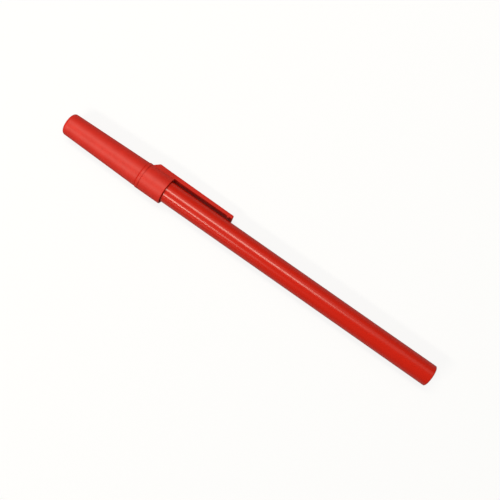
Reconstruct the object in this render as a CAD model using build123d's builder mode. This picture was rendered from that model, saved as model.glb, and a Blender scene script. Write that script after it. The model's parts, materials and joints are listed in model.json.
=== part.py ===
from build123d import *
from math import asin, atan2, cos, degrees, hypot, sin, sqrt, tan
import os

# A capped stick ballpoint pen lying on its side. All sizes are in millimetres.
# The pen's axis runs along +X, with the cap towards -X and the clip on the +Y side.

# Fits
snug = 0.01  # radial room between pieces that are pressed together
slip = 0.05  # radial room between the cap and the barrel it slides over

# Barrel: a straight tube with a stepped, tapering nose under the cap
barrel_radius = 3.87
barrel_wall = 1.2
body_length = 117.2  # rear rim to the shoulder that stops the cap
rear_edge_radius = 0.45
shoulder_depth = 0.4
shoulder_chamfer = 0.12
neck_length = 4.0
nose_length = 11.0
nose_wall = 0.7
nose_blend_radius = 2.0
bore_taper_length = 3.0

# Plug in the barrel's rear end
plug_length = 7.0
plug_wall = 0.8
plug_face_thickness = 1.2
plug_inset = 0.2
plug_face_chamfer = 0.2
plug_lead_chamfer = 0.3
vent_width = 0.5
vent_depth = 0.3

# Ink tube and the ink in it
tube_bore_radius = 1.05
tube_wall = 0.6
tube_rear_room = 10.0  # from the open end of the tube to the plug
ink_rear_room = 14.0  # air behind the ink in the tube

# Tip holder: shank in the barrel, cone in front of it, spigot in the ink tube
tube_passage = 0.1  # how much slimmer the ink tube is than the shank
shank_length = 9.0
shank_lead_chamfer = 0.25
holder_nose_length = 6.0
holder_lip = 0.3
spigot_length = 5.0
feed_radius = 0.4

# Point: turned socket with a ball in its crimped end
point_radius = 1.15
point_step = 0.2
point_shank_length = 4.5
point_body_length = 4.3
point_cone_length = 2.6
lip_wall = 0.12
ball_radius = 0.5
ball_reach = 0.3  # how far the ball stands out of the lip
ball_room = 0.015
throat_radius = 0.2
throat_length = 0.5
channel_count = 5
channel_width = 0.1
channel_radius = 0.36

# Cap: crown, collar and clip in one moulding
collar_length = 9.9
collar_wall = 0.78
collar_edge_chamfer = 0.12
mouth_chamfer = 0.12
crown_wall = 1.2
crown_taper = 0.7  # radius lost from the collar to the closed end
crown_end_wall = 1.3
crown_dome = 0.75
crown_edge_radius = 1.1
groove_setback = 1.0  # fine ring round the collar, from its front edge
groove_width = 0.2
groove_depth = 0.1
tip_room = 1.8  # from the ball to the crown's inner end
rib_count = 6
rib_height = 0.2
rib_width = 0.6
rib_setback = 1.0

# Pocket clip, with widths at its outer face
clip_reach = 23.9  # past the collar's mouth
clip_rise = 1.1  # outer face above the collar
clip_spread = 0.5  # how much each side slopes outwards from the outer face to the base
clip_root_width = 6.0
clip_mouth_width = 4.84
clip_tip_width = 4.0
clip_root_thickness = 1.63
clip_tip_thickness = 1.38
clip_ramp_setback = 0.8
clip_ramp_length = 2.4
clip_ramp_depth = 2.8
clip_sink = 0.2  # base of the clip below the foot of its ramp, inside the collar
clip_bend_radius = 0.6
clip_edge_radius = 0.35
clip_corner_radius = 0.8  # at the base, where it is larger than on the outer face by the spread
bead_radius = 0.45
bead_height = 0.3
bead_setback = 2.0

# Radii that follow from the sizes above
bore_radius = barrel_radius - barrel_wall
neck_radius = barrel_radius - shoulder_depth
tube_radius = tube_bore_radius + tube_wall
shank_radius = tube_radius + tube_passage
nose_front_radius = shank_radius + snug + nose_wall
plug_radius = bore_radius - snug
spigot_radius = tube_bore_radius - snug
holder_front_radius = point_radius + holder_lip
point_shank_radius = point_radius - point_step
seat_radius = ball_radius + ball_room
lip_depth = ball_radius - ball_reach  # from the lip back to the ball's centre
lip_radius = sqrt(seat_radius**2 - lip_depth**2) + lip_wall
seat_depth = sqrt(seat_radius**2 - throat_radius**2)
rib_tip_radius = barrel_radius + slip
collar_bore_radius = rib_tip_radius + rib_height
collar_radius = collar_bore_radius + collar_wall
crown_bore_radius = neck_radius + slip
crown_bore_end_radius = crown_bore_radius - crown_taper
crown_root_radius = crown_bore_radius + crown_wall
crown_end_radius = crown_root_radius - crown_taper
crown_dome_radius = (crown_end_radius**2 + crown_dome**2) / (2 * crown_dome)
clip_outer_radius = collar_radius + clip_rise

# Stations along the axis, with the middle of the closed pen at zero
point_reach = point_body_length + point_cone_length + ball_reach
nose_reach = neck_length + nose_length + holder_nose_length + point_reach
overall_length = body_length + nose_reach + tip_room + crown_end_wall
rear_x = overall_length / 2
shoulder_x = rear_x - body_length
neck_front_x = shoulder_x - neck_length
nose_front_x = neck_front_x - nose_length
shank_rear_x = nose_front_x + shank_length
spigot_rear_x = shank_rear_x + spigot_length
holder_front_x = nose_front_x - holder_nose_length
point_rear_x = holder_front_x + point_shank_length
point_cone_x = holder_front_x - point_body_length
lip_x = point_cone_x - point_cone_length
ball_x = lip_x + lip_depth
throat_x = ball_x + seat_depth + throat_length
crown_inner_x = lip_x - ball_reach - tip_room
cap_end_x = crown_inner_x - crown_end_wall
groove_x = shoulder_x + groove_setback
mouth_x = shoulder_x + collar_length
clip_tip_x = mouth_x + clip_reach
ramp_foot_x = shoulder_x + clip_ramp_setback
ramp_top_x = ramp_foot_x + clip_ramp_length
clip_root_x = shoulder_x - clip_spread
plug_face_x = rear_x - plug_inset
plug_front_x = plug_face_x - plug_length
plug_floor_x = plug_face_x - plug_face_thickness
tube_rear_x = plug_front_x - tube_rear_room
ink_rear_x = tube_rear_x - ink_rear_room

# Each side of the clip is straight from its tip to the mouth and flares from there in an arc to the root
clip_depth = clip_ramp_depth + clip_sink
clip_draft = atan2(clip_spread, clip_depth)
strap_slope = atan2((clip_mouth_width - clip_tip_width) / 2, clip_reach)
flare_length = mouth_x - clip_root_x
flare_side = (clip_root_width - clip_mouth_width) / 2
flare_radius = hypot(flare_length, flare_side) / (2 * sin(atan2(flare_side, flare_length) - strap_slope))
ramp_slope = atan2(clip_ramp_depth, clip_ramp_length)
bend_foot_x = ramp_top_x - clip_bend_radius * tan(ramp_slope / 2) * cos(ramp_slope)
bend_sine = sin(strap_slope) + (mouth_x - bend_foot_x) / flare_radius
bend_width = clip_mouth_width + 2 * flare_radius * (cos(strap_slope) - sqrt(1 - bend_sine**2))

# The pen rests on its collar and on the edge of the clip's bend, which sets how far the clip hangs
edge_out = clip_outer_radius - clip_edge_radius
edge_side = bend_width / 2 - clip_edge_radius * (1 - sin(clip_draft)) / cos(clip_draft)
edge_drop = asin((collar_radius - clip_edge_radius) / hypot(edge_out, edge_side))
clip_hang = edge_drop - atan2(edge_side, edge_out)
clip_side = edge_out * cos(clip_hang) + edge_side * sin(clip_hang) + clip_edge_radius
axis_height = collar_radius
axis_side = (collar_radius - clip_side) / 2  # the lying pen is centred between its collar and its clip

pen_middle = (0, axis_side, axis_height)
pen_axis = Axis(pen_middle, (1, 0, 0))
# half section of the pen: x along the pen, y outwards from its axis
pen_plane = Plane(origin=pen_middle, x_dir=(1, 0, 0), z_dir=(0, -1, 0))
# side view of the clip: y outwards through the middle of the clip
clip_plane = Plane(origin=pen_middle, x_dir=(1, 0, 0), z_dir=(0, sin(clip_hang), cos(clip_hang)))
# plan view of the clip, looked at from outside
clip_plan = Plane(origin=pen_middle, x_dir=(1, 0, 0), z_dir=(0, cos(clip_hang), -sin(clip_hang)))


def cross_section(x):
    """A plane across the pen at x, facing the rear end."""
    return Plane(origin=(x, axis_side, axis_height), x_dir=(0, 1, 0), z_dir=(1, 0, 0))


def corner(profile, x, y):
    """The corner of a flat profile at its own x and y."""
    return profile.vertices().sort_by_distance((x, y))[0]


os.makedirs("parts", exist_ok=True)

# Barrel
with BuildPart() as barrel:
    with BuildSketch(pen_plane) as barrel_profile:
        with BuildLine():
            Polyline(
                (nose_front_x, shank_radius + snug),
                (nose_front_x, nose_front_radius),
                (neck_front_x, neck_radius),
                (shoulder_x, neck_radius),
                (shoulder_x, barrel_radius),
                (rear_x, barrel_radius),
                (rear_x, bore_radius),
                (shoulder_x, bore_radius),
                (shoulder_x - bore_taper_length, shank_radius + snug),
                close=True,
            )
        make_face()
        fillet(corner(barrel_profile, rear_x, barrel_radius), rear_edge_radius)
        chamfer(corner(barrel_profile, shoulder_x, barrel_radius), shoulder_chamfer)
        fillet(corner(barrel_profile, neck_front_x, neck_radius), nose_blend_radius)
    revolve(axis=pen_axis)
barrel.part.label = "barrel"
export_step(barrel.part, "parts/barrel.step")

# Plug: a cup that closes the rear bore, open towards the ink
with BuildPart() as end_plug:
    with BuildSketch(pen_plane):
        with BuildLine():
            Polyline(
                (plug_face_x, 0),
                (plug_face_x, plug_radius - plug_face_chamfer),
                (plug_face_x - plug_face_chamfer, plug_radius),
                (plug_front_x + plug_lead_chamfer, plug_radius),
                (plug_front_x, plug_radius - plug_lead_chamfer),
                (plug_front_x, plug_radius - plug_wall),
                (plug_floor_x, plug_radius - plug_wall),
                (plug_floor_x, 0),
                close=True,
            )
        make_face()
    revolve(axis=pen_axis)
    with BuildSketch(cross_section(plug_front_x)):
        with Locations((0, plug_radius)):
            Rectangle(vent_width, 2 * vent_depth)
    extrude(amount=plug_length, mode=Mode.SUBTRACT)
end_plug.part.label = "end_plug"
export_step(end_plug.part, "parts/end_plug.step")

# Tip holder
with BuildPart() as tip_holder:
    with BuildSketch(pen_plane):
        with BuildLine():
            Polyline(
                (holder_front_x, point_shank_radius + snug),
                (holder_front_x, holder_front_radius),
                (nose_front_x, nose_front_radius),
                (nose_front_x, shank_radius),
                (shank_rear_x - shank_lead_chamfer, shank_radius),
                (shank_rear_x, shank_radius - shank_lead_chamfer),
                (shank_rear_x, spigot_radius),
                (spigot_rear_x, spigot_radius),
                (spigot_rear_x, feed_radius + snug),
                (point_rear_x, feed_radius + snug),
                (point_rear_x, point_shank_radius + snug),
                close=True,
            )
        make_face()
    revolve(axis=pen_axis)
tip_holder.part.label = "tip_holder"
export_step(tip_holder.part, "parts/tip_holder.step")

# Ink tube, pushed over the spigot up to the shank
with BuildPart() as ink_tube:
    with BuildSketch(cross_section(shank_rear_x)):
        Circle(tube_radius)
        Circle(tube_bore_radius, mode=Mode.SUBTRACT)
    extrude(amount=tube_rear_x - shank_rear_x)
ink_tube.part.label = "ink_tube"
export_step(ink_tube.part, "parts/ink_tube.step")

# Ink: the column in the tube, with the thin thread that feeds the ball
with BuildPart() as ink_column:
    with BuildSketch(cross_section(spigot_rear_x)):
        Circle(tube_bore_radius - snug)
    extrude(amount=ink_rear_x - spigot_rear_x)
    with BuildSketch(cross_section(throat_x)):
        Circle(feed_radius - snug)
    extrude(amount=spigot_rear_x - throat_x)
ink_column.part.label = "ink_column"
export_step(ink_column.part, "parts/ink_column.step")

# Point socket: turned outside, ink duct behind, spherical seat and channels in front
with BuildPart() as point_socket:
    with BuildSketch(pen_plane):
        with BuildLine():
            Polyline(
                (lip_x, 0),
                (lip_x, lip_radius),
                (point_cone_x, point_radius),
                (holder_front_x, point_radius),
                (holder_front_x, point_shank_radius),
                (point_rear_x, point_shank_radius),
                (point_rear_x, feed_radius),
                (throat_x, feed_radius),
                (throat_x, 0),
                close=True,
            )
        make_face()
    revolve(axis=pen_axis)
    with Locations((ball_x, axis_side, axis_height)):
        Sphere(seat_radius, mode=Mode.SUBTRACT)
    with BuildSketch(cross_section(ball_x)):
        Circle(throat_radius)
        with PolarLocations(channel_radius / 2, channel_count):
            Rectangle(channel_radius, channel_width)
    extrude(amount=throat_x - ball_x, mode=Mode.SUBTRACT)
point_socket.part.label = "point_socket"
export_step(point_socket.part, "parts/point_socket.step")

# Ball
with BuildPart() as writing_ball:
    with Locations((ball_x, axis_side, axis_height)):
        Sphere(ball_radius)
writing_ball.part.label = "writing_ball"
export_step(writing_ball.part, "parts/writing_ball.step")

# Clip: a plan that flares at the root and narrows to the tip, drawn out with sloping sides and a rounded
# outer face, then cut to a side view with the ramp on the collar and the bead that holds cloth
clip_base = clip_outer_radius - clip_depth
clip_inner_tip = clip_outer_radius - clip_tip_thickness
clip_inner_root = clip_outer_radius - clip_root_thickness
bead_x = clip_tip_x - bead_setback
bead_face = clip_inner_tip - (clip_inner_tip - clip_inner_root) * bead_setback / clip_reach
root_side = clip_root_width / 2 + clip_spread
mouth_side = clip_mouth_width / 2 + clip_spread
tip_side = clip_tip_width / 2 + clip_spread
with BuildPart() as clip:
    with BuildSketch(clip_plan.offset(clip_base)) as plan_view:
        with BuildLine():
            strap = Polyline(
                (mouth_x, -mouth_side),
                (clip_tip_x, -tip_side),
                (clip_tip_x, tip_side),
                (mouth_x, mouth_side),
            )
            flare = TangentArc((mouth_x, mouth_side), (clip_root_x, root_side), tangent=strap % 1)
            mirror(flare, about=Plane.XZ)
            Line((clip_root_x, root_side), (clip_root_x, -root_side))
        make_face()
        fillet(plan_view.vertices().group_by(Axis.X)[-1], clip_corner_radius)
    extrude(amount=clip_depth, taper=degrees(clip_draft))
    outer_face = clip.faces().sort_by(Axis(pen_middle, clip_plan.z_dir))[-1]
    fillet(outer_face.edges(), clip_edge_radius)
    with BuildSketch(clip_plane) as side_view:
        with BuildLine():
            Polyline(
                (ramp_foot_x, clip_base),
                (ramp_foot_x, clip_outer_radius - clip_ramp_depth),
                (ramp_top_x, clip_outer_radius),
                (clip_tip_x, clip_outer_radius),
                (clip_tip_x, clip_inner_tip),
                (mouth_x, clip_inner_root),
                (mouth_x, clip_base),
                close=True,
            )
        make_face()
        fillet(corner(side_view, ramp_top_x, clip_outer_radius), clip_bend_radius)
        with Locations((bead_x, bead_face + bead_radius - bead_height)):
            Circle(bead_radius)
    extrude(amount=clip_root_width, both=True, mode=Mode.INTERSECT)

# Cap: turned outside with the clip on it, hollowed by the room for the barrel and the point
with BuildPart() as cap:
    with BuildSketch(pen_plane) as cap_profile:
        with BuildLine():
            crown_end = CenterArc(
                (cap_end_x + crown_dome_radius, 0),
                crown_dome_radius,
                start_angle=180,
                arc_size=-degrees(asin(crown_end_radius / crown_dome_radius)),
            )
            Polyline(
                crown_end @ 1,
                (shoulder_x, crown_root_radius),
                (shoulder_x, collar_radius),
                (groove_x, collar_radius),
                (groove_x, collar_radius - groove_depth),
                (groove_x + groove_width, collar_radius - groove_depth),
                (groove_x + groove_width, collar_radius),
                (mouth_x, collar_radius),
                (mouth_x, 0),
                crown_end @ 0,
            )
        make_face()
        fillet(corner(cap_profile, cap_end_x + crown_dome, crown_end_radius), crown_edge_radius)
        chamfer(corner(cap_profile, shoulder_x, collar_radius), collar_edge_chamfer)
    revolve(axis=pen_axis)
    add(clip.part)
    with BuildSketch(pen_plane):
        with BuildLine():
            Polyline(
                (crown_inner_x, 0),
                (crown_inner_x, crown_bore_end_radius),
                (neck_front_x, crown_bore_radius),
                (shoulder_x, crown_bore_radius),
                (shoulder_x, collar_bore_radius),
                (mouth_x - mouth_chamfer, collar_bore_radius),
                (mouth_x, collar_bore_radius + mouth_chamfer),
                (mouth_x, 0),
                close=True,
            )
        make_face()
    revolve(axis=pen_axis, mode=Mode.SUBTRACT)
    with BuildSketch(cross_section(shoulder_x)):
        with PolarLocations(rib_tip_radius + collar_wall / 2, rib_count):
            Rectangle(collar_wall, rib_width)
    extrude(amount=collar_length - rib_setback)
cap.part.label = "cap"
export_step(cap.part, "parts/cap.step")
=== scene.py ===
"""Looks of a capped stick ballpoint pen that lies on a white table.

Lengths are in metres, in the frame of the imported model: the pen's axis runs along +X with the cap
towards -X, the pocket clip is on the +Y side and +Z is up. Each size is named for what it
measures.
"""
import json
import logging
import math
from collections.abc import Callable, Sequence
from dataclasses import dataclass
from enum import Enum

import bpy
from mathutils import Matrix, Vector

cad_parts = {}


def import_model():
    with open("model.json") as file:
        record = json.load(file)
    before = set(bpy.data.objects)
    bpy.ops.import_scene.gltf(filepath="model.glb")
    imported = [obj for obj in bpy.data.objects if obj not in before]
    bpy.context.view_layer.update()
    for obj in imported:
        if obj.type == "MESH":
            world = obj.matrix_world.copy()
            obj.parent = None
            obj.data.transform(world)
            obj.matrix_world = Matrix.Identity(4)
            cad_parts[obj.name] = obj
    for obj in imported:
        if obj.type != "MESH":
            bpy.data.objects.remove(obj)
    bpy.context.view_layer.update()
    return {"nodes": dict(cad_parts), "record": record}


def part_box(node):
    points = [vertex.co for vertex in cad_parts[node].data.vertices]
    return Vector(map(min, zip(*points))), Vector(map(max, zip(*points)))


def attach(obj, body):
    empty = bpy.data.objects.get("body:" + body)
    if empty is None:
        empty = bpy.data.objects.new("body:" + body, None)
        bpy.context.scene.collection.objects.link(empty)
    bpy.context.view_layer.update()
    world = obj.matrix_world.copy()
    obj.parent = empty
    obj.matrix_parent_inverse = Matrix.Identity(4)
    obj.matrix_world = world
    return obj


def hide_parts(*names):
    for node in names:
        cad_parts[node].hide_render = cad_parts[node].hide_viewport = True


LOG = logging.getLogger("pen")
MM = 0.001
MERGE = 1e-6  # points closer than this are one point

Piece = bpy.types.Object
Node = bpy.types.Node
Socket = bpy.types.NodeSocket
Tree = bpy.types.NodeTree
Value = Socket | float | Sequence[float]
Colour = tuple[float, float, float]
Range = tuple[float, float]
UNIT: Range = (0.0, 1.0)
NOISE_SPAN: Range = (0.3, 0.7)  # values that a noise takes over most of a surface


class Body(Enum):
    """The bodies that new pieces move with."""

    PEN = "pen"
    CAP = "cap"


class Slot(Enum):
    """The record's material slots that new pieces take their finish from."""

    CAP = "cap_plastic"
    BARREL = "barrel_plastic"


class Cut(Enum):
    """How a second solid changes a first one."""

    JOIN = "UNION"
    REMOVE = "DIFFERENCE"


class Reckon(Enum):
    """How a node makes one value of two."""

    ADD = "ADD"
    SUBTRACT = "SUBTRACT"
    MULTIPLY = "MULTIPLY"
    LARGER = "MAXIMUM"


@dataclass(frozen=True)
class Layout:
    """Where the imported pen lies, read from the frame.

    Args:
        axis: a point on the pen's axis, at x zero.
        cap_front: x of the crown's closed end.
        nose_front: x of the barrel's front end.
        rear: x of the barrel's rear end.
        collar_radius: outer radius of the cap's collar, on which the pen lies.
        barrel_radius: outer radius of the barrel.
        hang: angle of the clip below the level of the axis.
    """

    axis: Vector
    cap_front: float
    nose_front: float
    rear: float
    collar_radius: float
    barrel_radius: float
    hang: float

    @classmethod
    def from_frame(cls, record: dict) -> "Layout":
        """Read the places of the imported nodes, and the clip's hang from its mount.

        Args:
            record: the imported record.

        Returns:
            The layout of the pen at rest.
        """
        ball_low, ball_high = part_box("writing_ball")
        cap_low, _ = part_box("cap")
        barrel_low, barrel_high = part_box("barrel")
        middle = (ball_low + ball_high) / 2
        mount = next(m for m in record["mounts"] if m["name"] == "pocket_clip")
        _, side, height = mount["pos_m"]
        return cls(
            axis=Vector((0, middle.y, middle.z)),
            cap_front=cap_low.x,
            nose_front=barrel_low.x,
            rear=barrel_high.x,
            collar_radius=middle.z,
            barrel_radius=(barrel_high.y - barrel_low.y) / 2,
            hang=math.atan2(middle.z - height, side - middle.y),
        )


@dataclass(frozen=True)
class Corner:
    """A corner of a turned outline.

    Args:
        x: place along the pen's axis.
        radius: distance from the axis.
        round: radius of the rounding, or zero for a crisp corner.
    """

    x: float
    radius: float
    round: float = 0.0


class Bench:
    """Modelling moves that the pieces share, made with Blender's own operators."""

    STEPS = 144  # sides of a full turn
    ROUNDING = 5  # edges in a rounding
    CREASE = math.radians(32)  # edges that bend by more than this stay crisp

    @staticmethod
    def take(piece: Piece) -> None:
        """Select a piece alone and make it the active one.

        Args:
            piece: the piece.
        """
        bpy.ops.object.select_all(action="DESELECT")
        piece.select_set(True)
        bpy.context.view_layer.objects.active = piece

    @staticmethod
    def edit(piece: Piece, whole: bool = False) -> None:
        """Open a piece alone in edit mode.

        Args:
            piece: the piece to open.
            whole: whether all of it is selected, or else nothing.
        """
        Bench.take(piece)
        bpy.ops.object.mode_set(mode="EDIT")
        bpy.ops.mesh.select_mode(type="VERT")
        bpy.ops.mesh.select_all(action="SELECT" if whole else "DESELECT")

    @staticmethod
    def done() -> None:
        """Leave edit mode."""
        bpy.ops.object.mode_set(mode="OBJECT")

    @staticmethod
    def pick(piece: Piece, test: Callable[[Vector], bool]) -> None:
        """Open a piece in edit mode with the vertices selected whose place passes a test.

        Args:
            piece: the piece to open.
            test: tells whether a vertex at that place is wanted.
        """
        Bench.edit(piece)
        Bench.done()
        for vertex in piece.data.vertices:
            vertex.select = test(vertex.co)
        bpy.ops.object.mode_set(mode="EDIT")

    @staticmethod
    def draw(name: str, points: Sequence[Vector], close: bool = False) -> Piece:
        """Draw a line of points by extruding one vertex from each to the next.

        Args:
            name: name of the new piece.
            points: the points of the line, in order.
            close: whether the last point is joined to the first.

        Returns:
            The new piece, which has edges and no faces.
        """
        bpy.ops.mesh.primitive_plane_add(size=MM)
        piece = bpy.context.object
        piece.name = name
        piece.data.name = name
        Bench.edit(piece, whole=True)
        bpy.ops.mesh.merge(type="CENTER")
        bpy.ops.transform.translate(value=points[0])
        for here, there in zip(points, points[1:]):
            bpy.ops.mesh.extrude_vertices_move(TRANSFORM_OT_translate={"value": there - here})
        Bench.done()
        if close:
            ends = (points[0], points[-1])
            Bench.pick(piece, lambda place: min((place - end).length for end in ends) < MERGE)
            bpy.ops.mesh.edge_face_add()
            Bench.done()
        return piece

    @staticmethod
    def round_corner(piece: Piece, place: Vector, reach: float) -> None:
        """Round one corner of a drawn line.

        Args:
            piece: the drawn piece.
            place: where the corner is.
            reach: distance from the corner at which the rounding starts.
        """
        Bench.pick(piece, lambda spot: (spot - place).length < MERGE)
        bpy.ops.mesh.bevel(affect="VERTICES", offset=reach, segments=Bench.ROUNDING, clamp_overlap=False)
        Bench.done()

    @staticmethod
    def turn(name: str, corners: Sequence[Corner], axis: Vector, close: bool = False) -> Piece:
        """Turn an outline about the pen's axis, as on a lathe.

        Args:
            name: name of the new piece.
            corners: the outline in the half plane above the axis.
            axis: a point on the axis.
            close: whether the outline is a ring; otherwise it starts and ends on the axis.

        Returns:
            A closed turned piece with outward faces.
        """
        spots = [axis + Vector((c.x, 0, c.radius)) for c in corners]
        piece = Bench.draw(name, spots, close)
        behind = [spots[-1], *spots]
        ahead = [*spots[1:], spots[0]]
        for corner, before, spot, after in zip(corners, behind, spots, ahead):
            if corner.round:
                bend = (spot - before).angle(after - spot)
                Bench.round_corner(piece, spot, corner.round * math.tan(bend / 2))
        Bench.edit(piece, whole=True)
        bpy.ops.mesh.spin(
            steps=Bench.STEPS, angle=math.tau, center=axis, axis=(1, 0, 0), use_auto_merge=True
        )
        Bench.close_up()
        return piece

    @staticmethod
    def close_up() -> None:
        """Merge doubles, point the faces outwards and leave edit mode."""
        bpy.ops.mesh.select_all(action="SELECT")
        bpy.ops.mesh.remove_doubles(threshold=MERGE)
        bpy.ops.mesh.normals_make_consistent(inside=False)
        Bench.done()

    @staticmethod
    def shave(piece: Piece, place: Vector, outward: Vector) -> None:
        """Cut a solid off at a plane and close the cut.

        Args:
            piece: the solid.
            place: a point on the plane.
            outward: direction of the side that is taken away.
        """
        Bench.edit(piece, whole=True)
        bpy.ops.mesh.bisect(
            plane_co=place, plane_no=outward, use_fill=True, clear_outer=True, threshold=MERGE
        )
        Bench.done()

    @staticmethod
    def combine(piece: Piece, tool: Piece, cut: Cut) -> None:
        """Join a second solid to a piece or take it away, and remove the second solid.

        Args:
            piece: the piece that stays.
            tool: the solid that is used up.
            cut: what is done with it.
        """
        Bench.take(piece)
        boolean = piece.modifiers.new(cut.name, "BOOLEAN")
        boolean.operation = cut.value
        boolean.solver = "EXACT"
        boolean.object = tool
        bpy.ops.object.modifier_apply(modifier=boolean.name)
        bpy.data.objects.remove(tool)
        Bench.edit(piece)
        Bench.close_up()

    @staticmethod
    def smooth(piece: Piece) -> None:
        """Shade a piece smooth apart from its creases, with the broad faces ruling the shading.

        Args:
            piece: the finished mesh.
        """
        Bench.take(piece)
        bpy.ops.object.shade_smooth_by_angle(angle=Bench.CREASE)
        weighted = piece.modifiers.new("broad_faces", "WEIGHTED_NORMAL")
        weighted.keep_sharp = True
        bpy.ops.object.modifier_apply(modifier=weighted.name)

    @staticmethod
    def block(place: Vector, size: Sequence[float]) -> Piece:
        """Add a block to shape a piece with.

        Args:
            place: its middle.
            size: its length, width and height.

        Returns:
            The block.
        """
        bpy.ops.mesh.primitive_cube_add(size=1, location=place, scale=size)
        bpy.ops.object.transform_apply(location=True, scale=True)
        return bpy.context.object

    @staticmethod
    def rod(place: Vector, radius: float, length: float, turn: Sequence[float], sides: int) -> Piece:
        """Add a round rod to shape a piece with.

        Args:
            place: its middle.
            radius: its radius.
            length: its length.
            turn: how its axis is turned from upright.
            sides: number of its sides.

        Returns:
            The rod.
        """
        bpy.ops.mesh.primitive_cylinder_add(
            vertices=sides, radius=radius, depth=length, location=place, rotation=turn
        )
        bpy.ops.object.transform_apply(location=True, rotation=True)
        return bpy.context.object


class Wiring:
    """A node tree while it is wired."""

    def __init__(self, tree: Tree) -> None:
        """Take a node tree and empty it.

        Args:
            tree: the tree of a material, a group or the world.
        """
        self.tree = tree
        tree.nodes.clear()

    def add(self, kind: str, **settings: object) -> Node:
        """Add a node.

        Args:
            kind: the node's type, in which ShaderNode at the front is left out.
            settings: properties of the node to set.

        Returns:
            The new node.
        """
        prefix = "" if kind.startswith("Node") else "ShaderNode"
        node = self.tree.nodes.new(prefix + kind)
        for key, value in settings.items():
            setattr(node, key, value)
        return node

    def link(self, source: Value, target: Socket) -> None:
        """Join an output to an input, or set the input to a plain value.

        Args:
            source: the output or the value.
            target: the input.
        """
        if isinstance(source, Socket):
            self.tree.links.new(source, target)
        else:
            target.default_value = source

    def fill(self, node: Node, **inputs: Value) -> Node:
        """Fill inputs of a node by name, with underscores for spaces.

        Args:
            node: the node.
            inputs: an output or a plain value for each.

        Returns:
            The same node.
        """
        for key, value in inputs.items():
            self.link(value, node.inputs[key.replace("_", " ")])
        return node

    def remap(self, source: Socket, span: Range = UNIT, to: Range = UNIT) -> Socket:
        """Spread a value from one range to another, clamped.

        Args:
            source: the value.
            span: the range it is taken from.
            to: the range it is spread over.

        Returns:
            The socket with the result.
        """
        node = self.fill(self.add("MapRange"), Value=source)
        self.fill(node, From_Min=span[0], From_Max=span[1], To_Min=to[0], To_Max=to[1])
        return node.outputs["Result"]

    def reckon(self, way: Reckon, first: Socket, second: Value) -> Socket:
        """Make one value of two.

        Args:
            way: how it is made.
            first: the first value.
            second: the second value, or a plain number.

        Returns:
            The socket with the result.
        """
        node = self.add("Math", operation=way.value)
        self.link(first, node.inputs[0])
        self.link(second, node.inputs[1])
        return node.outputs[0]

    def noise(self, place: Socket, scale: Value, span: Range = NOISE_SPAN, **settings: float) -> Socket:
        """Wire a noise and spread it from zero to one.

        Args:
            place: where the noise is read.
            scale: its fineness.
            span: the noise that becomes zero and the noise that becomes one.
            settings: other inputs of the noise by name.

        Returns:
            The socket with the spread noise.
        """
        node = self.fill(self.add("TexNoise"), Vector=place, Scale=scale, **settings)
        return self.remap(node.outputs["Fac"], span)

    def blend(self, share: Socket, first: Colour, second: Colour) -> Socket:
        """Blend two colours by a value that varies over the surface.

        Args:
            share: how much of the second colour shows.
            first: linear colour at zero.
            second: linear colour at one.

        Returns:
            The socket with the colour.
        """
        node = self.fill(self.add("Mix", data_type="RGBA"), Factor=share)
        start, end = (socket for socket in node.inputs if socket.type == "RGBA")
        start.default_value = (*first, 1)
        end.default_value = (*second, 1)
        return next(s for s in node.outputs if s.type == "RGBA")


class Effect(Enum):
    """Surface effects that several finishes share, each a node group."""

    GRAIN = "moulded_grain"
    STREAKS = "drawn_streaks"
    HANDLING = "handling_marks"


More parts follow.
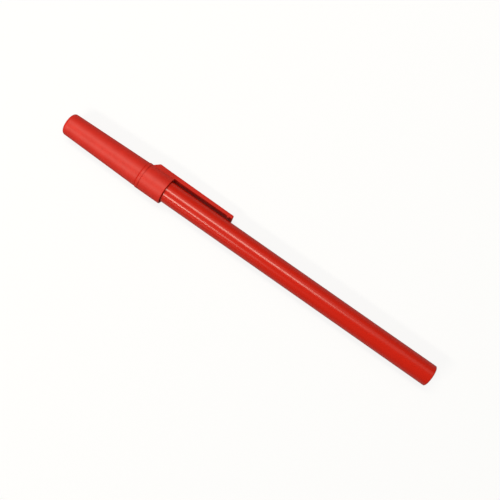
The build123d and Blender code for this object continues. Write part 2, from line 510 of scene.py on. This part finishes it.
class Effects:
    """Builds the shared node groups, each once."""

    MOTTLE_SCALE = 0.12  # scale of the mottle against the grain
    SMUDGE_SCALE = 0.08  # scale of the smudges against the scratches
    SMUDGE_SPAN: Range = (0.48, 0.7)  # noise where a smudge starts and where it is full
    SCRATCH_SPAN: Range = (0.7, 0.76)  # noise where a scratch starts and where it is full
    SCRATCH_TURN = (0.3, 0.5, 0.4)  # slant of the scratches, in radians
    SCRATCH_STRETCH = (0.06, 1, 1)  # scale along and across a scratch

    @staticmethod
    def group(effect: Effect) -> Tree:
        """Find or build the node group of an effect.

        Args:
            effect: the effect wanted.

        Returns:
            Its node group.
        """
        tree = bpy.data.node_groups.get(effect.value)
        if not tree:
            tree = bpy.data.node_groups.new(effect.value, "ShaderNodeTree")
            {
                Effect.GRAIN: Effects.grain,
                Effect.STREAKS: Effects.streaks,
                Effect.HANDLING: Effects.handling,
            }[effect](tree)
        return tree

    @staticmethod
    def start(
        tree: Tree, inputs: Sequence[str], outputs: Sequence[str]
    ) -> tuple[Wiring, bpy.types.NodeOutputs, bpy.types.NodeInputs]:
        """Give a group its sockets and open it for wiring.

        Args:
            tree: the empty group.
            inputs: names of its values, besides the place on the surface.
            outputs: names of its results.

        Returns:
            The wiring, what comes into the group and what leaves it.
        """
        tree.interface.new_socket("Place", in_out="INPUT", socket_type="NodeSocketVector")
        for name in inputs:
            tree.interface.new_socket(name, in_out="INPUT", socket_type="NodeSocketFloat")
        for name in outputs:
            tree.interface.new_socket(name, in_out="OUTPUT", socket_type="NodeSocketFloat")
        wires = Wiring(tree)
        return wires, wires.add("NodeGroupInput").outputs, wires.add("NodeGroupOutput").inputs

    @staticmethod
    def grain(tree: Tree) -> None:
        """Wire the skin of a satin moulding: fine grain with a slow mottle under it.

        Args:
            tree: the empty group.
        """
        wires, given, result = Effects.start(tree, ["Fineness"], ["Grain", "Mottle"])
        place, fineness = given["Place"], given["Fineness"]
        slower = wires.reckon(Reckon.MULTIPLY, fineness, Effects.MOTTLE_SCALE)
        grain = wires.noise(place, fineness, Detail=3, Roughness=0.6)
        mottle = wires.noise(place, slower, Detail=2, Roughness=0.5)
        wires.link(grain, result["Grain"])
        wires.link(mottle, result["Mottle"])

    @staticmethod
    def streaks(tree: Tree) -> None:
        """Wire fine streaks that run one way over a surface, as from drawing, flow or turning.

        Args:
            tree: the empty group.
        """
        wires, given, result = Effects.start(tree, ["Along", "Across"], ["Streak"])
        across = given["Across"]
        scale = wires.fill(wires.add("CombineXYZ"), X=given["Along"], Y=across, Z=across)
        stretch = wires.add("VectorMath", operation="MULTIPLY")
        wires.link(given["Place"], stretch.inputs[0])
        wires.link(scale.outputs[0], stretch.inputs[1])
        streak = wires.noise(stretch.outputs[0], 1, Detail=4, Roughness=0.55)
        wires.link(streak, result["Streak"])

    @staticmethod
    def handling(tree: Tree) -> None:
        """Wire marks of use: dull finger smudges and sparse hairline scratches.

        Args:
            tree: the empty group.
        """
        wires, given, result = Effects.start(tree, ["Fineness"], ["Smudge", "Scratch"])
        place, fineness = given["Place"], given["Fineness"]
        slower = wires.reckon(Reckon.MULTIPLY, fineness, Effects.SMUDGE_SCALE)
        smudge = wires.noise(
            place, slower, Effects.SMUDGE_SPAN, Detail=2, Roughness=0.45, Distortion=0.6
        )
        slant = wires.fill(wires.add("Mapping"), Vector=place)
        wires.fill(slant, Rotation=Effects.SCRATCH_TURN, Scale=Effects.SCRATCH_STRETCH)
        lines = slant.outputs[0]
        scratch = wires.noise(lines, fineness, Effects.SCRATCH_SPAN, Detail=1, Roughness=0.4)
        wires.link(smudge, result["Smudge"])
        wires.link(scratch, result["Scratch"])


class Surface:
    """A material with one Principled shader, ready for a finish to wire."""

    def __init__(self, name: str) -> None:
        """Make the material, its shader, its coordinates and its output.

        Args:
            name: name of the material.
        """
        self.material = bpy.data.materials.new(name)
        self.material.use_nodes = True
        self.wires = Wiring(self.material.node_tree)
        self.shader = self.wires.add("BsdfPrincipled")
        self.place = self.wires.add("TexCoord").outputs["Object"]
        self.wires.fill(self.wires.add("OutputMaterial"), Surface=self.shader.outputs["BSDF"])

    def effect(self, effect: Effect, **inputs: float) -> bpy.types.NodeOutputs:
        """Place a shared effect in the material.

        Args:
            effect: the effect.
            inputs: its values for this material.

        Returns:
            What the effect puts out.
        """
        node = self.wires.add("Group", node_tree=Effects.group(effect))
        return self.wires.fill(node, Place=self.place, **inputs).outputs

    def relief(self, height: Socket, depth: float) -> None:
        """Let a value stand out of the surface.

        Args:
            height: the value, from zero to one.
            depth: height of one, in metres.
        """
        bump = self.wires.fill(self.wires.add("Bump"), Strength=1, Distance=depth, Height=height)
        self.feed(Normal=bump.outputs["Normal"])

    def feed(self, **inputs: Value) -> None:
        """Fill the shader's inputs, with values that vary over the surface or are the same all over."""
        self.wires.fill(self.shader, **inputs)


@dataclass(frozen=True)
class Finish:
    """What every finish of the pen has.

    Args:
        name: name of the material.
        deep: linear colour of the darker spots.
        pale: linear colour of the lighter spots.
        gloss: roughness of the smoothest and of the roughest spots.
    """

    name: str
    deep: Colour
    pale: Colour
    gloss: Range

    def material(self) -> bpy.types.Material:
        """Build the finish.

        Returns:
            Its material.
        """
        surface = Surface(self.name)
        self.wire(surface)
        return surface.material

    def wire(self, surface: Surface) -> None:
        """Wire a material in the way of this kind of finish."""
        raise NotImplementedError


@dataclass(frozen=True)
class SatinPlastic(Finish):
    """A satin moulded plastic with grain, mottle and marks of use.

    Args:
        level: specular level.
        fineness: grains in a metre.
        depth: height of the grain.
        polish: share of the roughness's range that a smudge takes off.
    """

    level: float
    fineness: float
    depth: float
    polish: float = 0.3

    def wire(self, surface: Surface) -> None:
        """Wire the grain, the mottle and the marks of use.

        Args:
            surface: the material.
        """
        wires = surface.wires
        grain = surface.effect(Effect.GRAIN, Fineness=self.fineness)
        marks = surface.effect(Effect.HANDLING, Fineness=self.fineness)
        smooth, rough = self.gloss
        grained = wires.remap(grain["Grain"], to=self.gloss)
        polished = wires.remap(marks["Smudge"], to=(0, self.polish * (rough - smooth)))
        surface.relief(grain["Grain"], self.depth)
        surface.feed(
            Base_Color=wires.blend(grain["Mottle"], self.deep, self.pale),
            Roughness=wires.reckon(Reckon.SUBTRACT, grained, polished),
            Specular_IOR_Level=self.level,
        )


@dataclass(frozen=True)
class GlossPlastic(Finish):
    """A glossy moulded plastic with faint streaks along its flow and fine scratches.

    Args:
        level: specular level.
        depth: height of the streaks.
        along: fineness of the streaks along the flow.
        across: their fineness across it.
        fineness: fineness of the scratches.
        smudge: dullness of a smudge, against one for a scratch.
    """

    level: float
    depth: float
    along: float = 14
    across: float = 700
    fineness: float = 1800
    smudge: float = 0.5

    def wire(self, surface: Surface) -> None:
        """Wire the streaks and the marks of use.

        Args:
            surface: the material.
        """
        wires = surface.wires
        streak = surface.effect(Effect.STREAKS, Along=self.along, Across=self.across)["Streak"]
        marks = surface.effect(Effect.HANDLING, Fineness=self.fineness)
        smudged = wires.remap(marks["Smudge"], to=(0, self.smudge))
        dull = wires.reckon(Reckon.LARGER, smudged, marks["Scratch"])
        surface.relief(streak, self.depth)
        surface.feed(
            Base_Color=wires.blend(streak, self.deep, self.pale),
            Roughness=wires.remap(dull, to=self.gloss),
            Specular_IOR_Level=self.level,
        )


@dataclass(frozen=True)
class TurnedMetal(Finish):
    """A small turned metal part with rings from the tool.

    Args:
        rings: fineness of the rings along the axis.
        depth: height of the rings.
        around: their fineness round the axis.
        fineness: fineness of the marks of use.
        smudge: roughness that a smudge adds.
    """

    rings: float
    depth: float
    around: float = 60
    fineness: float = 6000
    smudge: float = 0.12

    def wire(self, surface: Surface) -> None:
        """Wire the rings, whose crests are pale and smooth, and the smudges.

        Args:
            surface: the material.
        """
        wires = surface.wires
        ring = surface.effect(Effect.STREAKS, Along=self.rings, Across=self.around)["Streak"]
        marks = surface.effect(Effect.HANDLING, Fineness=self.fineness)
        crest, valley = self.gloss
        turned = wires.remap(ring, to=(valley, crest))
        smudged = wires.remap(marks["Smudge"], to=(0, self.smudge))
        surface.relief(ring, self.depth)
        surface.feed(
            Base_Color=wires.blend(ring, self.deep, self.pale),
            Roughness=wires.reckon(Reckon.ADD, turned, smudged),
            Metallic=1.0,
        )


@dataclass(frozen=True)
class ClearTube(Finish):
    """A translucent extruded tube with faint draw lines.

    Args:
        light_through: share of light that passes.
        along: fineness of the lines along the tube.
        across: their fineness across it.
        ior: refractive index.
    """

    light_through: float
    along: float = 20
    across: float = 2500
    ior: float = 1.5

    def wire(self, surface: Surface) -> None:
        """Wire the draw lines.

        Args:
            surface: the material.
        """
        line = surface.effect(Effect.STREAKS, Along=self.along, Across=self.across)["Streak"]
        surface.feed(
            Base_Color=surface.wires.blend(line, self.deep, self.pale),
            Roughness=surface.wires.remap(line, to=self.gloss),
            Transmission_Weight=self.light_through,
            IOR=self.ior,
        )


class Palette:
    """The finishes of the pen."""

    CAP = SatinPlastic(
        "cap_red_satin", deep=(0.572, 0.013, 0.004), pale=(0.622, 0.016, 0.006),
        gloss=(0.5, 0.56), level=0.41, fineness=2600, depth=2e-6,
    )
    BARREL = GlossPlastic(
        "barrel_red_gloss", deep=(0.535, 0.012, 0.003), pale=(0.565, 0.014, 0.004),
        gloss=(0.22, 0.27), level=0.33, depth=1e-7,
    )
    HOLDER = SatinPlastic(
        "holder_natural", deep=(0.72, 0.70, 0.62), pale=(0.78, 0.76, 0.68),
        gloss=(0.35, 0.45), level=0.5, fineness=3000, depth=3e-6,
    )
    TUBE = ClearTube(
        "tube_clear", deep=(0.78, 0.78, 0.74), pale=(0.86, 0.86, 0.83),
        gloss=(0.2, 0.3), light_through=0.5,
    )
    INK = GlossPlastic(
        "ink_paste", deep=(0.010, 0.010, 0.014), pale=(0.016, 0.016, 0.022),
        gloss=(0.08, 0.2), level=0.5, depth=1e-6,
    )
    POINT = TurnedMetal(
        "point_brass", deep=(0.56, 0.36, 0.12), pale=(0.70, 0.48, 0.18),
        gloss=(0.18, 0.32), rings=16000, depth=2e-6,
    )
    BALL = TurnedMetal(
        "ball_ground", deep=(0.36, 0.36, 0.37), pale=(0.44, 0.44, 0.45),
        gloss=(0.1, 0.18), rings=5000, depth=2e-7,
    )


@dataclass
class Clip:
    """The pocket clip of the cap: a flared root, a ramp, a slim strap and a bead under its tip.

    Args:
        layout: where the pen lies.
        root: x of the root's edge on the collar.
        mouth: x of the collar's mouth.
    """

    layout: Layout
    root: float
    mouth: float
    reach: float = 23.9 * MM
    rise: float = 1.1 * MM
    depth: float = 3.0 * MM
    spread: float = 0.5 * MM
    root_width: float = 6.0 * MM
    mouth_width: float = 4.84 * MM
    tip_width: float = 4.0 * MM
    root_thickness: float = 1.63 * MM
    tip_thickness: float = 1.38 * MM
    ramp_setback: float = 0.8 * MM
    ramp_length: float = 2.4 * MM
    ramp_depth: float = 2.8 * MM
    bend_radius: float = 0.6 * MM
    edge_radius: float = 0.35 * MM
    corner_radius: float = 0.8 * MM
    seat_radius: float = 4.5 * MM
    mouth_overlap: float = 0.1 * MM
    bead_radius: float = 0.45 * MM
    bead_height: float = 0.3 * MM
    bead_setback: float = 2.0 * MM
    flare_steps: int = 10
    bend_steps: int = 7
    bead_sides: int = 48

    @property
    def outer(self) -> float:
        """Distance of the clip's outer face from the axis."""
        return self.layout.collar_radius + self.rise

    @property
    def tip(self) -> float:
        """Place of the free end of the clip's base along the pen."""
        return self.mouth + self.reach

    def spot(self, x: float, side: float, out: float) -> Vector:
        """A place on the upright clip, before it is turned to its hang."""
        return self.layout.axis + Vector((x, side, out))

    def side_at(self, x: float) -> float:
        """Half the width of the clip's base, which flares in an arc from the mouth to the root.

        Args:
            x: place along the clip.

        Returns:
            The half width there.
        """
        slope = math.atan2((self.mouth_width - self.tip_width) / 2, self.reach)
        length = self.mouth - self.root + self.spread
        gain = (self.root_width - self.mouth_width) / 2
        radius = math.hypot(length, gain) / (2 * math.sin(math.atan2(gain, length) - slope))
        sine = math.sin(slope) + (self.mouth - x) / radius
        return self.mouth_width / 2 + self.spread + radius * (math.cos(slope) - math.sqrt(1 - sine**2))

    def plan(self) -> list[Vector]:
        """Draw the outline of the clip's base, as seen from outside.

        Returns:
            Its corners, going round.
        """
        start = self.root - self.spread
        run = self.mouth - start
        stations = [start + run * step / self.flare_steps for step in range(self.flare_steps + 1)]
        sides = [(x, self.side_at(x)) for x in stations]
        sides.append((self.tip, self.tip_width / 2 + self.spread))
        base = self.outer - self.depth
        left = [self.spot(x, side, base) for x, side in sides]
        right = [self.spot(x, -side, base) for x, side in reversed(sides)]
        return left + right

    def build(self) -> Piece:
        """Model the clip and turn it to its hang.

        Returns:
            A closed solid whose foot ends inside the collar's wall.
        """
        clip = self.drafted_body()
        self.cut_ramp(clip)
        self.cut_underside(clip)
        Bench.edit(clip, whole=True)
        bpy.ops.transform.rotate(
            value=math.pi / 2 + self.layout.hang, orient_axis="X", center_override=self.layout.axis
        )
        Bench.close_up()
        return clip

    def drafted_body(self) -> Piece:
        """Draw the plan, raise it with sloping sides and round its outer edges.

        Returns:
            The upright clip without its ramp and the room under it.
        """
        corners = self.plan()
        clip = Bench.draw("clip", corners, close=True)
        for corner in corners:
            if abs(corner.x - self.tip) < MERGE:
                Bench.round_corner(clip, corner, self.corner_radius)
        Bench.edit(clip, whole=True)
        bpy.ops.mesh.edge_face_add()
        bpy.ops.mesh.inset(thickness=self.spread, depth=0)
        bpy.ops.transform.translate(value=(0, 0, self.depth))
        bpy.ops.mesh.select_all(action="DESELECT")
        bpy.ops.mesh.select_non_manifold()
        bpy.ops.mesh.edge_face_add()
        Bench.close_up()
        top = self.layout.axis.z + self.outer
        Bench.pick(clip, lambda place: place.z > top - MERGE)
        half_turn = (math.pi / 2 - math.atan2(self.spread, self.depth)) / 2
        reach = self.edge_radius * math.tan(half_turn)
        bpy.ops.mesh.bevel(affect="EDGES", offset=reach, segments=Bench.ROUNDING, clamp_overlap=False)
        Bench.close_up()
        return clip

    def cut_ramp(self, clip: Piece) -> None:
        """Cut the ramp that rises from the collar, with a rounded bend at its top.

        Args:
            clip: the upright clip.
        """
        slope = math.atan2(self.ramp_depth, self.ramp_length)
        foot = self.root + self.ramp_setback
        top = foot + self.ramp_length + self.bend_radius * math.tan(slope / 2)
        bend = self.spot(top, 0, self.outer - self.bend_radius)
        for step in range(1, self.bend_steps + 1):
            angle = slope * step / self.bend_steps
            outward = Vector((-math.sin(angle), 0, math.cos(angle)))
            Bench.shave(clip, bend + self.bend_radius * outward, outward)
        Bench.shave(clip, self.spot(foot, 0, 0), Vector((-1, 0, 0)))

    def cut_underside(self, clip: Piece) -> None:
        """Clear the room for the barrel and the collar under the clip, and add the bead.

        Args:
            clip: the upright clip.
        """
        start = self.mouth - self.mouth_overlap
        run = self.tip - start
        rise = self.root_thickness - self.tip_thickness
        under = self.outer - self.root_thickness
        room = Bench.block(
            self.spot(start + run, 0, under - self.depth),
            (2 * run, 2 * self.root_width, 2 * self.depth),
        )
        top = self.layout.axis.z + under
        Bench.pick(room, lambda place: place.z > top - MERGE and place.x > self.tip)
        bpy.ops.transform.translate(value=(0, 0, 2 * rise))
        Bench.done()
        Bench.combine(clip, room, Cut.REMOVE)

        seat = Bench.rod(
            self.spot(start - run, 0, 0), self.seat_radius, 2 * run, (0, math.pi / 2, 0), Bench.STEPS
        )
        Bench.combine(clip, seat, Cut.REMOVE)

        under = self.outer - self.tip_thickness - rise * self.bead_setback / run
        middle = self.spot(self.tip - self.bead_setback, 0, under + self.bead_radius - self.bead_height)
        bead = Bench.rod(middle, self.bead_radius, self.tip_width, (math.pi / 2, 0, 0), self.bead_sides)
        Bench.combine(clip, bead, Cut.JOIN)


@dataclass
class Cap:
    """The cap: crown, collar, pocket clip and grip ribs in one moulding.

    Args:
        layout: where the pen lies.
        finish: the cap's plastic.
    """

    layout: Layout
    finish: SatinPlastic
    crown_length: float = 31.3 * MM
    collar_length: float = 9.9 * MM
    collar_bore: float = 4.12 * MM
    crown_root: float = 4.72 * MM
    crown_end: float = 4.02 * MM
    crown_dome: float = 0.75 * MM
    dome_steps: int = 4
    crown_round: float = 1.1 * MM
    crown_bore: float = 3.52 * MM
    crown_bore_end: float = 2.82 * MM
    end_wall: float = 1.3 * MM
    neck_length: float = 4.0 * MM
    ring_setback: float = 1.0 * MM
    ring_width: float = 0.34 * MM
    ring_depth: float = 0.2 * MM
    seam_width: float = 0.4 * MM
    edge_round: float = 0.08 * MM
    ring_round: float = 0.04 * MM
    rim_round: float = 0.25 * MM
    mouth_chamfer: float = 0.12 * MM
    rib_count: int = 6
    rib_height: float = 0.2 * MM
    rib_width: float = 0.6 * MM
    rib_setback: float = 1.0 * MM
    rib_rounding: int = 2

    def outline(self) -> list[Corner]:
        """Lay out the cap's half section.

        Returns:
            Its corners, from the crown's outer pole round the mouth to its inner pole.
        """
        front = self.layout.cap_front
        collar = front + self.crown_length
        mouth = collar + self.collar_length
        ring = collar + self.ring_setback
        outer = self.layout.collar_radius
        floor = outer - self.ring_depth
        return [
            *self.dome(front),
            Corner(front + self.crown_dome, self.crown_end, self.crown_round),
            Corner(collar - self.seam_width, self.crown_root, self.ring_round),
            Corner(collar, self.crown_root - self.ring_depth),
            Corner(collar, outer, self.edge_round),
            Corner(ring, outer, self.ring_round),
            Corner(ring, floor),
            Corner(ring + self.ring_width, floor),
            Corner(ring + self.ring_width, outer, self.ring_round),
            Corner(mouth, outer, self.rim_round),
            Corner(mouth, self.collar_bore + self.mouth_chamfer, self.edge_round),
            Corner(mouth - self.mouth_chamfer, self.collar_bore),
            Corner(collar, self.collar_bore),
            Corner(collar, self.crown_bore),
            Corner(collar - self.neck_length, self.crown_bore),
            Corner(front + self.end_wall, self.crown_bore_end, self.edge_round),
            Corner(front + self.end_wall, 0),
        ]

    def dome(self, front: float) -> list[Corner]:
        """Points of the closed end's shallow dome, from its pole towards its edge.

        Args:
            front: x of the pole.

        Returns:
            The points without the edge itself.
        """
        radius = (self.crown_end**2 + self.crown_dome**2) / (2 * self.crown_dome)
        outs = [self.crown_end * step / self.dome_steps for step in range(self.dome_steps)]
        return [Corner(front + radius - math.sqrt(radius**2 - out**2), out) for out in outs]

    def build(self) -> Piece:
        """Model the whole moulding.

        Returns:
            The cap as one closed mesh.
        """
        cap = Bench.turn("cap_moulding", self.outline(), self.layout.axis)
        collar = self.layout.cap_front + self.crown_length
        clip = Clip(self.layout, collar, collar + self.collar_length)
        Bench.combine(cap, clip.build(), Cut.JOIN)
        Bench.combine(cap, self.ribs(), Cut.JOIN)
        Bench.smooth(cap)
        return cap

    def ribs(self) -> Piece:
        """Model one grip rib in the collar's bore and copy it round.

        Returns:
            All ribs in one mesh, sunk half into the collar's wall.
        """
        wall = self.layout.collar_radius - self.collar_bore
        inner = self.collar_bore - self.rib_height
        height = self.rib_height + wall / 2
        length = self.collar_length - self.rib_setback
        start = self.layout.cap_front + self.crown_length - self.rib_height
        middle = Vector((start + length / 2, inner + height / 2, 0))
        ribs = Bench.block(self.layout.axis + middle, (length, height, self.rib_width))
        Bench.pick(ribs, lambda place: place.y < self.layout.axis.y + middle.y)
        bpy.ops.mesh.bevel(affect="EDGES", offset=self.edge_round, segments=self.rib_rounding)
        bpy.ops.mesh.select_all(action="SELECT")
        for _ in range(1, self.rib_count):
            bpy.ops.mesh.duplicate()
            bpy.ops.transform.rotate(
                value=math.tau / self.rib_count, orient_axis="X", center_override=self.layout.axis
            )
        Bench.close_up()
        return ribs

    def dress(self, cap: Piece) -> None:
        """Give the cap its plastic and set it on its body.

        Args:
            cap: the finished mesh.
        """
        cap.data.materials.clear()
        cap.data.materials.append(self.finish.material())
        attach(cap, Body.CAP.value)
        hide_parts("cap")


@dataclass
class Barrel:
    """The barrel, a glossy tube with a rounded rear rim and a stepped, tapering nose, and its plug.

    Args:
        layout: where the pen lies.
        finish: the barrel's plastic.
        plug_finish: the plug's plastic.
    """

    layout: Layout
    finish: GlossPlastic
    plug_finish: SatinPlastic
    wall: float = 1.2 * MM
    rim_round: float = 0.45 * MM
    shoulder_depth: float = 0.4 * MM
    shoulder_round: float = 0.12 * MM
    neck_length: float = 4.0 * MM
    nose_length: float = 11.0 * MM
    nose_blend: float = 2.0 * MM
    front_radius: float = 2.46 * MM
    front_bore: float = 1.76 * MM
    bore_taper: float = 3.0 * MM
    edge_round: float = 0.1 * MM

    def outline(self) -> list[Corner]:
        """Lay out the barrel's half section.

        Returns:
            Its corners, round the wall from the front bore.
        """
        front = self.layout.nose_front
        neck = front + self.nose_length
        shoulder = neck + self.neck_length
        rear = self.layout.rear
        outer = self.layout.barrel_radius
        bore = outer - self.wall
        return [
            Corner(front, self.front_bore),
            Corner(front, self.front_radius, self.edge_round),
            Corner(neck, outer - self.shoulder_depth, self.nose_blend),
            Corner(shoulder, outer - self.shoulder_depth),
            Corner(shoulder, outer, self.shoulder_round),
            Corner(rear, outer, self.rim_round),
            Corner(rear, bore, self.edge_round),
            Corner(shoulder, bore),
            Corner(shoulder - self.bore_taper, self.front_bore),
        ]

    def build(self) -> Piece:
        """Turn the barrel.

        Returns:
            The barrel as one closed mesh.
        """
        barrel = Bench.turn("barrel_tube", self.outline(), self.layout.axis, close=True)
        Bench.smooth(barrel)
        return barrel

    def dress(self, barrel: Piece, plug: Piece) -> None:
        """Give barrel and plug their plastics and set the barrel on its body.

        Args:
            barrel: the turned barrel.
            plug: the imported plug.
        """
        barrel.data.materials.clear()
        barrel.data.materials.append(self.finish.material())
        plug.data.materials[0] = self.plug_finish.material()
        LOG.info("%s: packed shape in %s", plug.name, self.plug_finish.name)
        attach(barrel, Body.PEN.value)
        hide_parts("barrel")


@dataclass(frozen=True)
class Refill:
    """The inside of the pen: tip holder, ink tube, ink, brass point and ball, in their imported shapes.

    Args:
        finishes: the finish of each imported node.
    """

    finishes: dict[str, Finish]

    def dress(self, nodes: dict[str, Piece]) -> None:
        """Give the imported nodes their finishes.

        Args:
            nodes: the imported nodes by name.
        """
        for name, finish in self.finishes.items():
            nodes[name].data.materials[0] = finish.material()
            LOG.info("%s: packed shape in %s", name, finish.name)


@dataclass(frozen=True)
class Strip:
    """A long soft lamp that hangs level over the pen.

    Args:
        name: name of the lamp.
        start: x of its first end.
        end: x of its other end.
        side: y of its middle line.
        width: its width.
        radiance: its brightness, where one is white.
        tint: its slightly warm colour.
    """

    name: str
    start: float
    end: float
    side: float
    width: float
    radiance: float
    tint: Colour = (1.0, 0.95, 0.81)

    def hang(self, height: float) -> None:
        """Make the lamp at a height above the table.

        Args:
            height: its height.
        """
        lamp = bpy.data.lights.new(self.name, "AREA")
        lamp.shape = "RECTANGLE"
        lamp.color = self.tint
        lamp.size = self.end - self.start
        lamp.size_y = self.width
        lamp.energy = self.radiance * math.pi * lamp.size * lamp.size_y
        lamp_object = bpy.data.objects.new(self.name, lamp)
        lamp_object.location = ((self.start + self.end) / 2, self.side, height)
        lamp_object.visible_camera = False
        bpy.context.scene.collection.objects.link(lamp_object)


@dataclass(frozen=True)
class Camera:
    """A camera that looks down on the pen as the photograph does.

    Args:
        axis: a point on the pen's axis, at x zero.
        aim_x: x of the middle of the picture, from that point.
        aim_y: y of the middle of the picture, from that point.
        tilt_x: degrees that the camera leans towards +X.
        tilt_y: degrees that the camera leans towards +Y.
        roll: degrees from the picture's right to the pen's +X.
        distance: from the middle of the picture to the camera.
        width: width of the picture at its middle.
        sensor: width of the sensor in millimetres.
        near: distance at which it starts to see.
    """

    axis: Vector
    aim_x: float = 1.302 * MM
    aim_y: float = -0.019 * MM
    tilt_x: float = 2.394
    tilt_y: float = 2.09
    roll: float = 34.958
    distance: float = 260 * MM
    width: float = 167.53 * MM
    sensor: float = 36.0
    near: float = 2.6 * MM

    def place(self) -> None:
        """Make the camera and use it for the picture."""
        data = bpy.data.cameras.new("camera")
        data.sensor_width = self.sensor
        data.lens = self.sensor * self.distance / self.width
        data.clip_start = self.near
        camera = bpy.data.objects.new("camera", data)
        bpy.context.scene.collection.objects.link(camera)
        tilt_x, tilt_y, roll = (math.radians(angle) for angle in (self.tilt_x, self.tilt_y, self.roll))
        lean = Vector((math.sin(tilt_x), math.sin(tilt_y), 0))
        back = Vector((lean.x, lean.y, math.sqrt(1 - lean.length_squared)))
        level = Vector((math.cos(roll), math.sin(roll), 0))
        right = (level - level.dot(back) * back).normalized()
        up = back.cross(right)
        camera.matrix_world = Matrix((right, up, back)).transposed().to_4x4()
        camera.location = self.axis + Vector((self.aim_x, self.aim_y, 0)) + self.distance * back
        bpy.context.scene.camera = camera


@dataclass(frozen=True)
class Studio:
    """A plain white table under soft lamps.

    Args:
        camera: the camera.
        strips: the lamps.
        lamp_height: height of the lamps above the table.
        table_size: side of the table.
        table_colour: linear colour that the eye sees on the table.
        table_bounce: linear colour that the table throws back on the pen.
        eye_glow: share of plain white that the eye sees in table and room.
        mirror_glow: share of plain white that gloss and glass see in them.
        horizon: brightness of the room at eye level.
        zenith: brightness of the room straight above.
        sky: sines of the angles above eye level between which it falls from one to the other.
    """

    camera: Camera
    strips: tuple[Strip, ...] = (
        Strip("near_strip", start=-0.42, end=0.07, side=0.19, width=0.125, radiance=15.8),
        Strip("far_strip", start=-0.48, end=-0.092, side=-0.475, width=0.113, radiance=32.0),
        Strip("far_low", start=-0.45, end=-0.12, side=-1.7, width=1.25, radiance=1.2),
        Strip("overhead", start=-0.42, end=-0.06, side=-0.2, width=0.26, radiance=0.5),
        Strip("clip_side", start=-0.4, end=0.55, side=0.45, width=0.44, radiance=0.75),
    )
    lamp_height: float = 0.6
    table_size: float = 6.0
    table_colour: Colour = (0.85, 0.85, 0.85)
    table_bounce: Colour = (0.27, 0.27, 0.27)
    eye_glow: float = 0.85
    mirror_glow: float = 0.15
    horizon: float = 0.176
    zenith: float = 0.08
    sky: Range = (0.05, 0.7)

    def build(self) -> None:
        """Build the table, the lamps, the room and the camera."""
        self.table()
        for strip in self.strips:
            strip.hang(self.lamp_height)
        self.room()
        self.camera.place()
        bpy.context.scene.view_settings.view_transform = "Standard"

    def table(self) -> None:
        """Make the white table top, which keeps the pen's shadow."""
        bpy.ops.mesh.primitive_plane_add(size=self.table_size)
        table = bpy.context.object
        table.name = "table"
        material = bpy.data.materials.new("white_table")
        material.use_nodes = True
        # Neither the table nor the room is sampled as a lamp, which keeps the gloss free of grain.
        material.cycles.emission_sampling = "NONE"
        wires = Wiring(material.node_tree)
        path = wires.add("LightPath")
        seen = wires.blend(path.outputs["Is Camera Ray"], self.table_bounce, self.table_colour)
        paint = wires.fill(wires.add("BsdfDiffuse"), Color=seen)
        glow = wires.fill(wires.add("Emission"), Color=(1, 1, 1, 1), Strength=1)
        mix = wires.add("MixShader")
        share = self.glow_share(wires, path)
        for source, target in zip((share, paint.outputs[0], glow.outputs[0]), mix.inputs):
            wires.link(source, target)
        wires.fill(wires.add("OutputMaterial"), Surface=mix.outputs[0])
        table.data.materials.append(material)

    def glow_share(self, wires: Wiring, path: Node) -> Socket:
        """Wire how much plain white a ray sees.

        Args:
            wires: the tree of the table's material or of the room.
            path: its light path node.

        Returns:
            The socket with the share.
        """
        seen = path.outputs
        mirrored = wires.reckon(Reckon.LARGER, seen["Is Glossy Ray"], seen["Is Transmission Ray"])
        to_eye = wires.remap(seen["Is Camera Ray"], to=(0, self.eye_glow))
        to_mirror = wires.remap(mirrored, to=(0, self.mirror_glow))
        return wires.reckon(Reckon.LARGER, to_eye, to_mirror)

    def room(self) -> None:
        """Light the room with a plain gradient, pale at eye level and dim above."""
        world = bpy.data.worlds.new("room")
        bpy.context.scene.world = world
        world.use_nodes = True
        world.cycles.sampling_method = "NONE"
        wires = Wiring(world.node_tree)
        direction = wires.add("TexCoord").outputs["Generated"]
        parts = wires.fill(wires.add("SeparateXYZ"), Vector=direction)
        gradient = wires.remap(parts.outputs["Z"], self.sky, (self.horizon, self.zenith))
        glow = self.glow_share(wires, wires.add("LightPath"))
        strength = wires.reckon(Reckon.LARGER, gradient, glow)
        light = wires.fill(wires.add("Background"), Color=(1, 1, 1, 1), Strength=strength)
        wires.fill(wires.add("OutputWorld"), Surface=light.outputs[0])


def main() -> None:
    """Model and dress the pen, build the studio and log the face counts."""
    logging.basicConfig(level=logging.INFO, format="%(name)s: %(message)s")
    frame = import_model()
    layout = Layout.from_frame(frame["record"])
    nodes = frame["nodes"]

    cap = Cap(layout, Palette.CAP)
    moulding = cap.build()
    cap.dress(moulding)
    LOG.info("%s: %d faces", moulding.name, len(moulding.data.polygons))
    barrel = Barrel(layout, Palette.BARREL, Palette.CAP)
    tube = barrel.build()
    barrel.dress(tube, nodes["end_plug"])
    LOG.info("%s: %d faces", tube.name, len(tube.data.polygons))
    Refill(
        {
            "tip_holder": Palette.HOLDER,
            "ink_tube": Palette.TUBE,
            "ink_column": Palette.INK,
            "point_socket": Palette.POINT,
            "writing_ball": Palette.BALL,
        }
    ).dress(nodes)
    Studio(Camera(layout.axis)).build()


if __name__ == "__main__":
    main()
